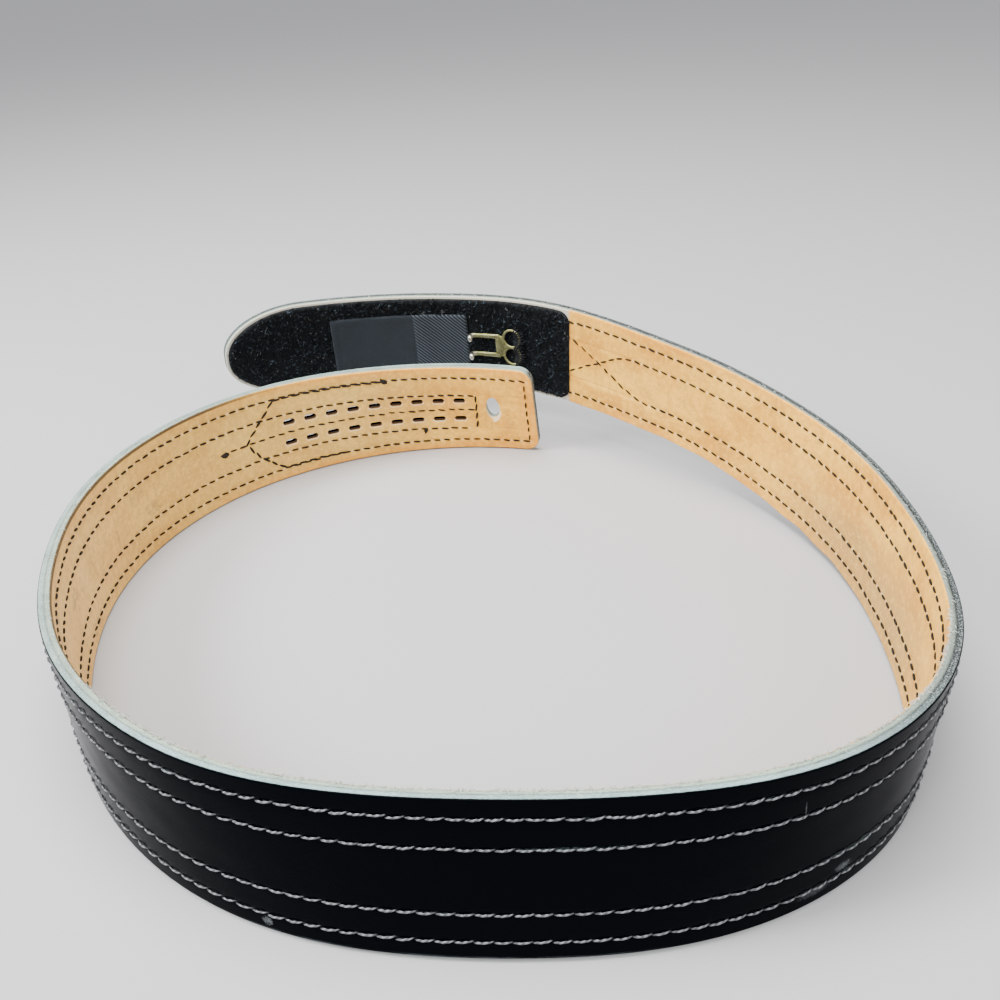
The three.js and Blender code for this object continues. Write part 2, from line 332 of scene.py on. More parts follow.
def shape_ply(ply, face_level, outwards, seed):
    """Rounds the face's edge, sinks the seams, dents the slots' lips, roughens the wall."""
    p = points(ply) / MM
    along, up = p[:, 0], p[:, 2]
    level = -p[:, 1]
    inset = inset_from_edge(along, up)
    face = np.abs(level - face_level) < 0.01
    in_rounding = np.maximum(0, EDGE_ROUND - inset)
    round_off = EDGE_ROUND - np.sqrt(np.maximum(0, EDGE_ROUND ** 2 - in_rounding ** 2))
    groove = np.zeros(len(p))
    shown = np.clip((LENGTH - TIP_RUN - 2 - along) / 8, 0, 1)
    for height in (*SEAM_OUTER, seam_height(0, along), seam_height(1, along)):
        groove += SEAM_DEPTH * np.exp(-((up - height) / SEAM_SPREAD) ** 2) * shown
    lips = np.clip(punched_distance(along, up), 0, 9)
    lower_side = up < np.where(up > sum(SLOT_ROWS) / 2, SLOT_ROWS[1], SLOT_ROWS[0]) - 0.5
    groove += np.where(lower_side, 0.5, 0.3) * np.exp(-(lips / 0.6) ** 2)
    waves = 0.10 * ripple(along, up, 46, seed) + 0.04 * ripple(along, up, 12, seed + 1)
    sink = np.where(face, round_off + groove - waves * np.clip(inset / 4, 0, 1), 0)
    level = level - outwards * sink
    wall = (inset < 0.02) & ~face
    out_of_line = 0.09 * ripple(along * 1.3, level * 9, 3.1, seed + 2)
    rough = np.where(wall, out_of_line, 0) * np.sign(up - WIDTH / 2)
    stretched = np.clip((along - 860) / 60, 0, 1) * np.clip((1180 - along) / 60, 0, 1)
    wave = 0.4 * stretched * ripple(along, np.zeros(len(p)), 24, 19)
    near_low_edge = np.clip(1 - up / 9, 0, 1)
    set_points(ply, np.stack([along, -level, up + rough + wave * near_low_edge], 1) * MM)


class Wire:
    """A socket in a material: arithmetic with it adds Math nodes, node() adds any other."""

    def __init__(self, tree, socket=None):
        self.tree = tree
        self.socket = socket

    def node(self, kind, settings=None, sockets=None, output=0):
        made = self.tree.nodes.new("ShaderNode" + kind)
        for key, value in (settings or {}).items():
            setattr(made, key, value)
        for key, value in (sockets or {}).items():
            if isinstance(value, Wire):
                self.tree.links.new(value.socket, made.inputs[key])
            else:
                made.inputs[key].default_value = value
        return Wire(self.tree, made.outputs[output])

    def math(self, operation, *others):
        """A Math node whose first value is this one."""
        return self.node("Math", {"operation": operation}, dict(enumerate((self, *others))))

    def __add__(self, other):
        return self.math("ADD", other)

    def __sub__(self, other):
        return self.math("SUBTRACT", other)

    def __rsub__(self, other):
        return self.node("Math", {"operation": "SUBTRACT"}, {0: other, 1: self})

    def __mul__(self, other):
        return self.math("MULTIPLY", other)

    def __truediv__(self, other):
        return self.math("DIVIDE", other)

    __radd__, __rmul__ = __add__, __mul__

    def step(self, low, high):
        """Nought below low, one above high, smooth between them; falling if low is higher."""
        rise = self.node("MapRange", {"interpolation_type": "SMOOTHSTEP"}, {
            "Value": self, "From Min": min(low, high), "From Max": max(low, high)})
        return rise if high > low else 1 - rise

    def band(self, middle, width):
        """One at middle, fading out to nought a width away on both sides."""
        return (self - middle).math("ABSOLUTE").step(width, 0)

    def noise(self, place, scale, detail=3, roughness=0.55, distortion=0):
        return self.node("TexNoise", None, {
            "Vector": place, "Scale": scale, "Detail": detail,
            "Roughness": roughness, "Distortion": distortion})

    def kept(self, name, output=2):
        """What a mesh keeps with its points: a number, or with output 1 a vector."""
        return self.node("Attribute", {"attribute_name": name}, None, output)

    def stretched(self, place, x, y, z):
        return self.node("VectorMath", {"operation": "MULTIPLY"}, {0: place, 1: (x, y, z)})

    def mix(self, factor, a, b):
        colors = [(*c, 1) if isinstance(c, tuple) else c for c in (a, b)]
        sockets = {0: factor, 6: colors[0], 7: colors[1]}
        return self.node("Mix", {"data_type": "RGBA"}, sockets, 2)

    def coats(self, base, layers):
        """A colour with others over it, each with how much of it shows."""
        for share, color in layers:
            base = self.mix(share, base, color)
        return base


def finish(name, **shader):
    """A new material: its first wire, its shader with the given sockets set, and itself."""
    material = bpy.data.materials.new(name)
    material.use_nodes = True
    tree = material.node_tree
    shade = tree.nodes["Principled BSDF"]
    for key, value in shader.items():
        shade.inputs[key.replace("_", " ")].default_value = value
    return Wire(tree), shade, material


def link(shade, **wires):
    for key, wire in wires.items():
        shade.id_data.links.new(wire.socket, shade.inputs[key.replace("_", " ")])


def flat_place(w):
    """Where a point lies on the flat belt (mm): the vector and its along, out, up."""
    place = w.kept("flat", 1)
    parts = [w.node("SeparateXYZ", None, {0: place}, n) for n in range(3)]
    return place, *parts


def bump(w, height, strength):
    return w.node("Bump", None, {"Height": height, "Strength": strength, "Distance": 0.2 * MM})


def squared_distance(along, up, at, size):
    """From a place on the flat belt: one at the edge of an oval with these half sizes."""
    beside, above = (along - at[0]) / size[0], (up - at[1]) / size[1]
    return beside * beside + above * above


def raw_fibre(w, place):
    """The fibres of raw leather, drawn out along the belt."""
    return w.noise(w.stretched(place, 0.35, 2.5, 2.0), 2.2, 4, 0.7)


def glue_line(along, out, fibre):
    """The line where the two plies meet: faint at the front, open and dark at the back."""
    uneven = out + (fibre - 0.5) * 0.35
    back = along.step(620, 900)
    middle = (OUTER_BACK + LINING_BACK) / 2
    faint = uneven.band(middle, 0.75) * (0.35 - back * 0.35)
    return faint + uneven.band(middle, 1.15) * back * 0.95


def cut_leather(w, place, along, out, fibre, light, dark, share):
    """A raw cut edge: fibrous and pale with painted shade between its fibres, dark and speckled
    where it has been handled.
    """
    at_back = along.step(670, 775) * (1 - along.step(1120, 1240) * 0.15)
    handled = at_back.math("MAXIMUM", along.step(4, 1.5)) * share
    speck = w.noise(place, 1.7, 3, 0.7)
    at_left = along.step(500, 400)
    dusty = w.noise(place, 0.09, 3).step(0.36, 0.62) * (0.5 + at_left * 0.5)
    # Painted shade: the hollows between the fibres are painted half as bright
    painted_shade_hollow, dust, freckle = [tuple(part * c for c in light) for part in (0.5, 0.34, 0.45)]
    bright = w.mix(at_left * 0.85, light, (0.37, 0.41, 0.33))
    return w.coats(w.mix(fibre.step(0.36, 0.66), painted_shade_hollow, bright), [
        (dusty * speck.step(0.42, 0.58), dust),
        (at_left * speck.step(0.48, 0.6) * 0.4, freckle),
        (handled, w.mix(speck.step(0.47, 0.62), dark, (0.25, 0.265, 0.255))),
        (glue_line(along, out, fibre), (0.02, 0.021, 0.02))])


def worn_spot(w, place, along, up, at, size, broken, soft=0.8):
    """An uneven patch of rubbed or stained finish round a place on the flat belt."""
    far = squared_distance(along, up, at, size)
    return (far + w.noise(place, broken, 4, 0.8) * 4.6).step(3.0, 3.0 - soft)


# Scuffs and a nick in the outer finish: place (along, up), size (along, up), strength
SCUFFS = (((526, 3.6), (2.2, 2.2), 0.6), ((713, 9.6), (4.5, 2.2), 0.5),
          ((701, 5.0), (8, 2.2), 0.25), ((695, 42), (0.35, 3.8), 0.3))


def black_leather():
    w, shade, material = finish("black_leather", Specular_IOR_Level=0.02)
    place, along, out, up = flat_place(w)
    grain = w.noise(place, 1.6, 4, 0.6)
    broad = w.noise(place, 0.05, 3)
    scuff = w.noise(w.stretched(place, 0.12, 1, 1.2), 0.9, 5, 0.7)
    fibre = raw_fibre(w, place)
    cut = (out + (fibre - 0.5) * 0.7).step(4.95, 4.6)
    cut = cut * (1 - w.kept("punched") * along.step(BOX_END, BOX_END + 2))
    rubbed = up.step(1.2, 0.5) * scuff.step(0.42, 0.62) * along.step(500, 530)
    dyed = w.mix(scuff.step(0.62, 0.8) * 0.3, (0.0004, 0.0008, 0.0015), (0.0016, 0.0022, 0.0034))
    dyed = w.coats(dyed, [
        *((worn_spot(w, place, along, up, at, size, 2.2) * share, (0.16, 0.17, 0.18))
          for at, size, share in SCUFFS),
        (rubbed * along.step(660, 620) * 0.3, (0.14, 0.16, 0.18))])
    raw = cut_leather(
        w, place, along, out, fibre, (0.40, 0.56, 0.54), (0.02, 0.023, 0.025), 0.97)
    link(shade, Base_Color=w.mix(cut, dyed, raw),
         Roughness=(0.16 + 0.12 * broad + scuff.step(0.55, 0.8) * 0.2) * (1 - cut) + cut * 0.9,
         Normal=bump(w, grain * 0.35 + broad + cut * fibre * 4, 0.25))
    return material


outer = flat_ply("outer_leather", (OUTER_BACK, 3.1, 3.8, 4.5, PLIES))
shape_ply(outer, PLIES, 1, 11)
punch(outer)
lay(outer, black_leather())
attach(outer, "root")
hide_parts("outer_strap")

# The lining. A 2.3 mm ply of natural tan leather, cut to the same outline and punched through
# with the outer strap. It is glued flesh to flesh and sewn to it, and has darkened with wear.

# Sizes (mm): one stitch, half the straight part of the tip, where the pile panel starts, and
# how the inner seam's halves cross over beside it (distance from the tip, height)
STITCH = 6
TIP_FLAT = WIDTH / 2 - TIP_DROP
PANEL_START = LENGTH - 218
CROSS_DOWN = ((259, 39.6), (253, 38.4), (246, 35.3), (238.5, 31), (229, 26), (219, 20.8),
              (205, 17))
CROSS_UP = ((205, 42.5), (215, 41.8), (219.5, 40.5), (228, 36.2), (238.5, 30.6), (247, 25.6),
            (256.5, 20.6), (265, 17.6))

# Dark stains on the lining: place (along, up), size (along, up), strength
STAINS = (((243, 22), (9, 8), 0.5), ((254, 36), (13, 7), 0.3), ((340, 32), (11, 5), 0.5),
          ((322, 6), (15, 5), 0.6), ((385, 47), (20, 6), 0.35), ((905, 24), (16, 7), 0.3))


def tip_seam(height, from_edge):
    """A seam's way round the rounded end, from the upper row to the lower one."""
    angles = np.linspace(math.pi / 2, -math.pi / 2, 41)
    drop = height - WIDTH / 2 - TIP_FLAT
    along = LENGTH - from_edge - (TIP_RUN - from_edge) * (1 - np.cos(angles))
    up = WIDTH / 2 + drop * np.sin(angles) + np.sign(np.sin(angles)) * TIP_FLAT
    return list(zip(along, up))


def long_seams():
    """One loop round the whole strap, and an inner one that crosses over beside the panel."""
    upper, lower = SEAM_OUTER
    outer_loop = [(5, lower), (5, upper)] + [(s, upper) for s in np.arange(10, 1280, 10)]
    outer_loop += tip_seam(upper, lower)
    outer_loop += [(s, lower) for s in np.arange(1270, 0, -10)] + [(5, lower)]
    high = [(s, float(seam_height(0, s))) for s in np.arange(BOX_END, LENGTH - 265, 12)]
    low = [(s, float(seam_height(1, s))) for s in np.arange(LENGTH - 272, BOX_END - 1, -12)]
    falling, rising = [[(LENGTH - d, up) for d, up in part] for part in (CROSS_DOWN, CROSS_UP)]
    inner_loop = high + falling + tip_seam(SEAM_INNER[0][0], 17)[::-1] + rising + low
    return [outer_loop, inner_loop]


def seam_phases(along):
    """Each long row's height and where its needle holes fall, for the leather's finish."""
    found = []
    for loop in [np.array(seam) for seam in long_seams()]:
        run = np.concatenate([[0], np.cumsum(np.hypot(*np.diff(loop, axis=0).T))])
        far = int(np.argmax(loop[:, 0]))
        for part, back in ((slice(0, far), 1), (slice(far, None), -1)):
            near = np.argmin(np.abs(loop[part, 0] - 600)) + (part.start or 0)
            phase = (loop[near, 0] - back * (run[near] % STITCH)) % STITCH
            found.append((float(loop[near, 1]), phase))
    bend = along.node("MapRange", None, {"Value": along, "From Min": 40, "From Max": 220})
    bend = (1 - bend) * (1 - bend)
    inner = [bend * (near - far) + far for far, near in SEAM_INNER]
    inside_box = along.step(BOX_END - 1, BOX_END + 1) * along.step(LENGTH - 258, LENGTH - 262)
    before_panel = along.step(PANEL_START, PANEL_START - 2)
    heights = [found[0][0], found[1][0], *inner]
    shown = [before_panel, before_panel, inside_box, inside_box]
    return [(height, phase, show) for height, (_, phase), show in zip(heights, found, shown)]


def slot_rim(along, up):
    """Distance outwards from the nearest slot's edge, and one on its lower side."""
    pitch = SLOT_PLACES[1] - SLOT_PLACES[0]
    shifted = along - SLOT_PLACES[0] + pitch / 2
    beside = (shifted.math("MODULO", pitch) - pitch / 2).math("ABSOLUTE")
    beside = (beside - (SLOT_LONG - SLOT_TALL) / 2).math("MAXIMUM", 0.0)
    low, high = [up - row for row in SLOT_ROWS]
    nearest = up.math("GREATER_THAN", sum(SLOT_ROWS) / 2)
    level = low * (1 - nearest) + high * nearest
    far = (beside * beside + level * level).math("SQRT")
    within = along.step(39.5, 40) * along.step(154, 153.5)
    return far - SLOT_TALL / 2 + (1 - within) * 9, level.step(0.3, -1.0)


def needle_holes(along, up, height, phase):
    """One round each needle hole of a long seam, where the leather puckers: the place of a
    painted highlight.
    """
    shifted = along + (STITCH * 301.5 - phase)
    beside = shifted.math("MODULO", STITCH) - STITCH / 2
    return (up - height).band(0.0, 1.5) * beside.band(0.0, 1.25)


def tan_leather():
    w, shade, material = finish("tan_leather", Specular_IOR_Level=0.3)
    place, along, out, up = flat_place(w)
    grain = w.noise(place, 1.3, 5, 0.65)
    pores = w.node("TexVoronoi", {"feature": "F1"}, {"Vector": place, "Scale": 1.5})
    drawn = w.stretched(place, 0.6, 1, 1)
    mottle = w.noise(drawn, 0.045, 4, 0.6, 0.6)
    stain = w.noise(place, 0.022, 3, 0.55, 1.2)
    crease = w.noise(w.stretched(place, 1, 1, 0.25), 0.28, 4, 0.6, 0.8)
    uneven = w.noise(place, 0.3, 5, 0.8)
    fibre = raw_fibre(w, place)

    # The grain side: broad changes along the belt with painted shade low on its right side,
    # stains, rim, creases painted darker as painted shade, a dark line along the upper edge,
    # and a painted highlight round the needle holes
    left = along.step(190, 330) * along.step(530, 420)
    yellow = along.step(30, 110) * along.step(330, 190)
    # Painted shade: the lower part of the right side, 770 to 1000 mm along, is painted darker
    painted_shade = along.step(770, 850) * along.step(1000, 915) * up.step(46, 14)
    edge = (up - WIDTH / 2).math("ABSOLUTE").step(21.5, 28.5)
    faded = 1 - along.step(110, 240) * 0.85 + along.step(880, 960) * 0.45
    warm = edge.math("MAXIMUM", along.step(15, 2)) * (0.35 + 0.6 * mottle) * faded
    # Painted highlight: the puckers round the needle holes are painted pale; the same mask
    # raises them in the bump
    pucker_highlight = sum(needle_holes(along, up, height, phase) * show
                 for height, phase, show in seam_phases(along))
    # A dark line along the upper edge, about 130 to 540 mm along
    dark_edge_line = along.step(130, 200) * along.step(540, 450) * up.step(WIDTH - 1.8, WIDTH - 1.0)
    at_tip = along.step(PANEL_START - 1, PANEL_START + 2)
    base = w.mix(mottle.step(0.34, 0.64), (0.74, 0.32, 0.018), (0.97, 0.52, 0.055))
    base = w.coats(base, [
        (left * (0.5 + mottle * 0.4), (0.88, 0.58, 0.215)),
        (yellow * (0.4 + mottle * 0.4), (0.64, 0.46, 0.135)),
        (painted_shade * (0.4 + mottle * 0.6), (0.36, 0.23, 0.085)),
        (stain.step(0.5, 0.72) * 0.35, (0.50, 0.26, 0.04)),
        *((worn_spot(w, drawn, along, up, at, size, 0.22, 1.2) * share * 1.2, (0.25, 0.15, 0.06))
          for at, size, share in STAINS),
        (warm, (0.88, 0.33, 0.015)),
        # Painted shade: the creases are painted darker, besides being bumped
        (crease.step(0.54, 0.74) * 0.36, (0.44, 0.23, 0.06)),
        (uneven.step(0.46, 0.64) * 0.42, (0.50, 0.27, 0.07)),
        (uneven.step(0.5, 0.38) * 0.35, (0.98, 0.64, 0.16)),
        (grain.step(0.55, 0.8) * 0.3, (0.97, 0.62, 0.14)),
        (pucker_highlight * (0.2 + grain * 0.4), (0.98, 0.78, 0.52)),
        (dark_edge_line * (0.7 + grain * 0.4), (0.03, 0.02, 0.014)),
        (at_tip * 0.9, w.mix(fibre, (0.26, 0.27, 0.24), (0.72, 0.74, 0.66)))])

    # Its raw rim, the walls of the slots with painted shade deeper in, their lips with a
    # painted highlight that is stronger on the lower side, and the torn side of the oval hole
    cut = (out + (fibre - 0.5) * 0.5).step(0.4, 0.75)
    deep = w.kept("punched")
    slot = deep * along.step(BOX_END, BOX_END + 2)
    rim, below = slot_rim(along, up)
    torn = squared_distance(along, up, OVAL_AT, (OVAL_LONG, OVAL_TALL)).step(0.44, 0.34)
    torn = torn * along.step(27.5, 25) * up.step(29, 26)
    # Painted highlight: the slots' lips are painted pale, most on their lower side, where they
    # catch the light
    lip_highlight_and_torn = (rim.step(1.0, 0.5) * (0.1 + below * 0.7)).math("MAXIMUM", torn) * (1 - slot)
    raw = cut_leather(
        w, place, along, out, fibre, (0.47, 0.58, 0.47), (0.07, 0.075, 0.066), 0.6)
    base = w.coats(base, [
        (lip_highlight_and_torn * 0.85, (0.92, 0.74, 0.52)),
        (cut * (1 - deep), raw),
        (deep * out.step(0.35, 0.6), (0.80, 0.60, 0.38)),
        # Painted shade: the slots' walls are painted dark brown deeper in
        (slot * out.step(0.1, 0.45), (0.12, 0.065, 0.035))])
    height = grain + pores * 0.5 + crease * 2 + pucker_highlight * 1.5 + cut * fibre * 3
    link(shade, Base_Color=base, Roughness=0.5 + 0.2 * grain + cut * 0.2,
         Normal=bump(w, height, 0.35))
    return material


lining = flat_ply("tan_lining", (LINING_BACK, 1.9, 1.3, 0.7, 0))
shape_ply(lining, 0, -1, 23)
punch(lining)
lay(lining, tan_leather())
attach(lining, "root")
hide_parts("lining")

# The thread. Four long machine seams of 6 mm stitches hold the plies together: pale grey
# thread outside, near black inside. More seams box in the slots, cross over beside the pile
# panel and run round both ends.

# Knots where the thread was tied off: place (along, up), turn in degrees, size
KNOTS = ((90, 49.8, 40, 1.05), (67.5, 14.2, -80, 0.8), (188.5, 28, 8, 1.15))

# One stitch outside: where it runs (along, up) and how thick it is there
STITCH_ROUTE = ((-3.35, -0.25), (-2.6, -0.3), (-1.6, -0.05), (-0.6, -0.15), (0.5, 0.1),
                (1.6, 0.05), (2.6, 0.3), (3.35, 0.25))
STITCH_THICK = (0.25, 0.6, 0.8, 0.66, 0.84, 0.66, 0.6, 0.25)


def short_seams():
    """Across the slots' end and between them, the arrow left of them, and what is sewn twice."""
    box_end = [(BOX_END, 14.8), (BOX_END, 38.0)]
    middle = [(BOX_END, 28.3), (188.5, 28.3)]
    again_upper = [(91, 49.7), (155.5, 49.6)]
    arrow = [(155.5, 49.6), (165, 39.5), (172, 32), (174.5, 29), (170, 22), (165.5, 16.8),
             (158, 10.5), (151, 6.9)]
    again_lower = [(151, 6.9), (112, 6.9)]
    return [box_end, middle, again_upper, arrow, again_lower]


def stitch_places(seam):
    """Where stitches lie along a seam: middle (along, up) and angle of each."""
    line = np.array(seam, float)
    steps = np.hypot(*np.diff(line, axis=0).T)
    run = np.concatenate([[0], np.cumsum(steps)])
    middles = np.arange(STITCH / 2, run[-1], STITCH)
    x, z = np.interp(middles, run, line[:, 0]), np.interp(middles, run, line[:, 1])
    ahead, behind = np.minimum(middles + 1.5, run[-1]), np.maximum(middles - 1.5, 0)
    dx = np.interp(ahead, run, line[:, 0]) - np.interp(behind, run, line[:, 0])
    dz = np.interp(ahead, run, line[:, 1]) - np.interp(behind, run, line[:, 1])
    angle = (np.arctan2(dz, dx) + math.pi / 2) % math.pi - math.pi / 2
    return np.stack([x, z, angle], 1)


def ready_shape(add, **sizes):
    """The points and faces of one of Blender's primitives, which is taken away again."""
    free_selection()
    add(**sizes)
    primitive = bpy.context.object
    shape = points(primitive)
    faces = [tuple(face.vertices) for face in primitive.data.polygons]
    bpy.data.objects.remove(primitive)
    return shape, faces


def spindle(long, thick, sides, rings):
    """A short, plump length of thread, modelled once."""
    ball, faces = ready_shape(
        bpy.ops.mesh.primitive_uv_sphere_add, segments=sides, ring_count=rings, radius=0.5)
    ball = ball[:, [2, 0, 1]]
    ball[:, 0] = np.sign(ball[:, 0]) * np.abs(ball[:, 0] * 2) ** 0.85 / 2
    return ball * (long, thick, thick), faces


def new_mesh(name, shape, faces):
    """A piece of these points (along, out, up) and faces."""
    mesh = bpy.data.meshes.new(name)
    mesh.from_pydata((shape * (MM, -MM, MM)).tolist(), [], faces)
    return put(name, mesh)


def repeat(name, shape, faces, turns, origins, tones=None):
    """One mesh of many small things: the shape in (along, out, up), turned and placed."""
    many = (np.einsum("nij,kj->nki", turns, shape) + origins[:, None]).reshape(-1, 3)
    starts = range(0, len(many), len(shape))
    all_faces = [tuple(v + start for v in face) for start in starts for face in faces]
    piece = new_mesh(name, many, all_faces)
    if tones is not None:
        keep_value(piece, "tone", np.repeat(tones, len(shape)))
    face_outwards(piece)
    return piece


def stitch_turns(places, side, loose, seed, plump=1):
    """How each stitch is turned and where it lies, every one a little differently."""
    rng = np.random.default_rng(seed)
    turns, origins = [], []
    for x, z, angle in places:
        turn = angle + math.radians(rng.normal(0, 3.5 * loose))
        long = plump + rng.normal(0, 0.05 * loose)
        thick = plump + rng.normal(0, 0.07 * loose)
        c, s = math.cos(turn), math.sin(turn)
        turns.append([[c * long, 0, -s * thick], [0, side * thick, 0], [s * long, 0, c * thick]])
        origins.append([x + rng.normal(0, 0.1 * loose), 0, z + rng.normal(0, 0.12 * loose)])
    return np.array(turns), np.array(origins)


def thread_finish(name, dark, light, shine):
    """Twisted thread: a painted highlight on its ridges where it stands high, painted shade
    where it dives into its holes.
    """
    w, shade, material = finish(name, Specular_IOR_Level=0.25)
    place, _, out, _ = flat_place(w)
    twist = w.node("TexWave", {"wave_type": "BANDS", "bands_direction": "DIAGONAL"},
                   {"Vector": w.stretched(place, 1, 0, -1), "Scale": 0.3, "Distortion": 0.8})
    patch = w.noise(place, 0.4, 3)
    # Painted shade where the thread sinks towards its holes; the twist's painted highlight only
    # where it stands high
    high = (out - PLIES / 2).math("ABSOLUTE").step(PLIES / 2 - 0.1, PLIES / 2 + 0.4)
    link(shade, Base_Color=w.mix((twist * 0.7 + patch * 0.4) * high, dark, light),
         Roughness=shine + 0.25 * patch, Normal=bump(w, twist, 0.6))
    return material


def proud_stitch():
    """One stitch of twisted thread that stands up in the middle and dives into its holes."""
    route = [(x, 0.85 * math.cos(math.pi * x / 7.4) - 0.25, z) for x, z in STITCH_ROUTE]
    return tube(route, STITCH_THICK, 5)


def ring_faces(sides, rings):
    """The faces of a closed tube of so many rings: its two ends and the walls between them."""
    faces = [tuple(range(sides)), tuple(range((rings - 1) * sides, rings * sides))]
    for i in range(rings - 1):
        for k in range(sides):
            a, b = i * sides + k, i * sides + (k + 1) % sides
            faces.append((a, b, b + sides, a + sides))
    return faces


def tube(route, thick, sides):
    """A closed tube along a route (along, out, up), as thick at each point as given."""
    ring, _ = ready_shape(bpy.ops.mesh.primitive_circle_add, vertices=sides, radius=0.5)
    rings = [np.array(at) + ring[:, [2, 0, 1]] * d for at, d in zip(route, thick)]
    return np.concatenate(rings), ring_faces(sides, len(rings))


def sew_outside():
    shape, faces = proud_stitch()
    seams = long_seams() + short_seams()
    places = np.concatenate([stitch_places(seam) for seam in seams])
    turns, origins = stitch_turns(places, 1, 0.7, 31)
    origins[:, 1] = PLIES - 0.2
    return repeat("outer_stitching", shape, faces, turns, origins)


def sew_inside():
    shape, faces = spindle(4.4, 1.15, 6, 5)
    c, s = math.cos(math.radians(5)), math.sin(math.radians(5))
    slanted = shape @ np.array([[c, 0, s], [0, 1, 0], [-s, 0, c]])
    box_end, middle, *heavy = short_seams()
    placed = [(long_seams() + [middle], 1), ([box_end] + heavy, 1.2)]
    turns, origins = [], []
    for number, (seams, plump) in enumerate(placed):
        places = np.concatenate([stitch_places(seam) for seam in seams])
        places = places[places[:, 0] < PANEL_START + 3]
        turned, middles = stitch_turns(places, -1, 1, 37 + number, plump)
        middles[:, 1] = -0.06
        turns.append(turned)
        origins.append(middles)
    turns, origins = np.concatenate(turns), np.concatenate(origins)
    return repeat("lining_stitching", slanted, faces, turns, origins)


def knots():
    """Three lumps where the thread was tied off, each with a short tail."""
    ball, faces = ready_shape(
        bpy.ops.mesh.primitive_ico_sphere_add, subdivisions=3, radius=1)
    ball *= 1 + 0.22 * ripple(ball[:, 0] * 3 + ball[:, 1], ball[:, 2] * 3, 2.2, 41)[:, None]
    tail = np.clip(ball[:, 0] - 0.45, 0, 1) ** 1.5
    ball[:, 0] += 1.5 * tail
    ball[:, 1:] *= 1 - 0.5 * np.minimum(tail, 1)[:, None]
    shape = ball * (1.65, 0.8, 1.45)
    turns, origins = [], []
    for along, up, angle, size in KNOTS:
        c, s = math.cos(math.radians(angle)) * size, math.sin(math.radians(angle)) * size
        turns.append([[c, 0, -s], [0, size, 0], [s, 0, c]])
        origins.append([along, -0.2, up])
    return repeat("thread_knots", shape, faces, np.array(turns), np.array(origins))


outer_thread = sew_outside()
grey = thread_finish("grey_thread", (0.014, 0.015, 0.018), (0.21, 0.215, 0.225), 0.4)
lay(outer_thread, grey, 60)
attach(outer_thread, "root")

for piece in (sew_inside(), knots()):
    dark = thread_finish(
        "dark_" + piece.name, (0.003, 0.0022, 0.0018), (0.018, 0.012, 0.009), 0.6)
    lay(piece, dark, 60)
    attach(piece, "root")

# The fuzz on the upper cut edge: short pale fibres of the leather itself, which stand up out
# of both raw plies where the edge has been rubbed, most of them along the front.


def curl(width, height, thick, turns, sides, steps):
    """An open arc of thin fibre or yarn, modelled once."""
    shape = []
    for i in range(steps + 1):
        angle = math.pi * (-0.1 + turns * i / steps)
        middle = np.array([math.cos(angle) * width / 2, math.sin(angle) * height, 0])
        ring = thick / 2 * (1 if 0 < i < steps else 0.6)
        for k in range(sides):
            a = 2 * math.pi * k / sides
            outward = np.array([math.cos(angle), math.sin(angle), 0]) * math.cos(a)
            shape.append(middle + ring * (outward + np.array([0, 0, math.sin(a)])))
    return np.array(shape), ring_faces(sides, steps + 1)


def edge_fuzz():
    rng = np.random.default_rng(47)
    shape, faces = curl(1.7, 0.6, 0.24, 0.9, 3, 4)
    count = 1700
    front = np.arange(count) % 3 > 0
    along = np.where(front, rng.uniform(440, 800, count), rng.uniform(150, LENGTH - 60, count))
    out = np.where(front, rng.uniform(0.1, 0.9, count), rng.uniform(0.4, 2.2, count))
    angle, size = rng.uniform(0, 2 * np.pi, count), rng.uniform(0.4, 1.15, count) ** 1.4
    c, s, zero = np.cos(angle), np.sin(angle), np.zeros(count)
    turns = np.array([[c, zero, -s], [s, zero, c], [zero, zero + 1, zero]]).transpose(2, 0, 1)
    origins = np.stack([along, out, zero + WIDTH - 0.05], 1)
    return repeat("edge_fuzz", shape, faces, turns * size[:, None, None], origins)


def fuzz_finish():
    w, shade, material = finish("edge_fuzz", Roughness=0.8)
    patchy = w.noise(flat_place(w)[0], 0.7, 2)
    link(shade, Base_Color=w.mix(patchy, (0.30, 0.31, 0.29), (0.62, 0.65, 0.58)))
    return material


fuzz = edge_fuzz()
lay(fuzz, fuzz_finish(), 80)
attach(fuzz, "root")

# The pile panel. A black loop-pile fabric on the inner face of the rounded end, the soft half
# of a touch fastener. It is glued and sewn down, its right corners are rounded and its pile
# has caught pale lint.
PANEL_MARGIN = 1.6
PANEL_END = LENGTH - PANEL_MARGIN
PANEL_CORNER = 7
PILE_BASE = 1.35

# Where the woven patch covers it (mm): its left and right side, its seam, its height
PATCH_LEFT, PATCH_RIGHT, PATCH_SEAM = LENGTH - 66, LENGTH - 152, LENGTH - 118
PATCH_LOW, PATCH_HIGH = 7, 46.5


def panel_half(along):
    """Half the panel's height: rounded corners at its start, the strap's rounding at its end."""
    taken = corner_drop(PANEL_CORNER, PANEL_CORNER, along - PANEL_START)
    taken = taken + corner_drop(TIP_RUN - PANEL_MARGIN, TIP_DROP - 0.6, PANEL_END - along)
    return WIDTH / 2 - PANEL_MARGIN - taken


def inset_in_panel(along, up):
    half = panel_half(along)
    slope = (panel_half(along + 0.05) - panel_half(along - 0.05)) / 0.1
    side = (half - np.abs(up - WIDTH / 2)) / np.sqrt(1 + slope ** 2)
    return np.minimum(side, np.minimum(along - PANEL_START, PANEL_END - along))


